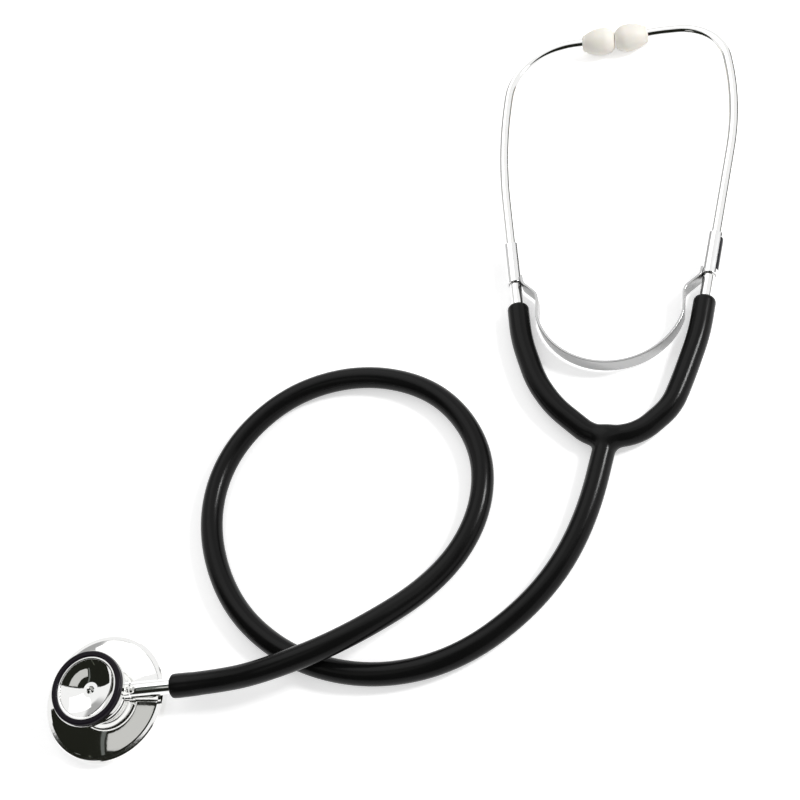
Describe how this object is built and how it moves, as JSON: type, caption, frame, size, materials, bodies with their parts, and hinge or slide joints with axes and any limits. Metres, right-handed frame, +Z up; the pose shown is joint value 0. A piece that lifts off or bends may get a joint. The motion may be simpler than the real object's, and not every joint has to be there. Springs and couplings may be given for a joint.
{
  "type": "stethoscope",
  "caption": "Stethoscope with a swivelling bell and diaphragm chestpiece, looped rubber tubing, and sprung metal ear tubes with plastic ear tips.",
  "frame": {"origin": "centre of the diaphragm's contact face, on the table the part lies on", "axes": "+Z up, away from the table, +Y along the headset towards the ear tips, +X from the chestpiece to the headset"},
  "size_m": [0.2594, 0.3267, 0.0202],
  "materials": {
    "chrome": "polished plating",
    "spring_steel": "satin",
    "black_rubber": "smooth, soft sheen",
    "diaphragm_film": "smooth, slightly translucent film",
    "ivory_plastic": "smooth, matte"
  },
  "bodies": {
    "tubing": {"y_yoke": "black_rubber", "main_tube": "black_rubber", "stem": "chrome", "stem_snap_ring": "spring_steel", "leaf_spring": "spring_steel"},
    "chest_head": {"chest_body": "chrome", "bell_ring": "black_rubber", "diaphragm": "diaphragm_film", "diaphragm_rim": "chrome", "detent_ball": "spring_steel", "detent_spring": "spring_steel", "detent_screw": "spring_steel"},
    "left_binaural": {"left_ear_tube": "chrome", "left_ear_tip": "ivory_plastic"},
    "right_binaural": {"right_ear_tube": "chrome", "right_ear_tip": "ivory_plastic"}
  },
  "joints": [
    {"name": "head_swivel", "type": "hinge", "parent": "tubing", "child": "chest_head", "pos_m": [0, 0, 0.01], "axis": [0.9913, 0.1319, 0], "continuous": true},
    {"name": "left_spread", "type": "hinge", "parent": "tubing", "child": "left_binaural", "pos_m": [0.1545, 0.1345, 0.00481], "axis": [0, -0.0067, 1], "range_deg": [0, 25], "stiffness_Nm_per_rad": 1, "springref_deg": -5.73, "deforming": ["y_yoke", "leaf_spring"]},
    {"name": "right_spread", "type": "hinge", "parent": "tubing", "child": "right_binaural", "pos_m": [0.2137, 0.1345, 0.00481], "axis": [0, 0.0067, -1], "range_deg": [0, 25], "stiffness_Nm_per_rad": 1, "springref_deg": -5.73, "deforming": ["y_yoke", "leaf_spring"]}
  ]
}
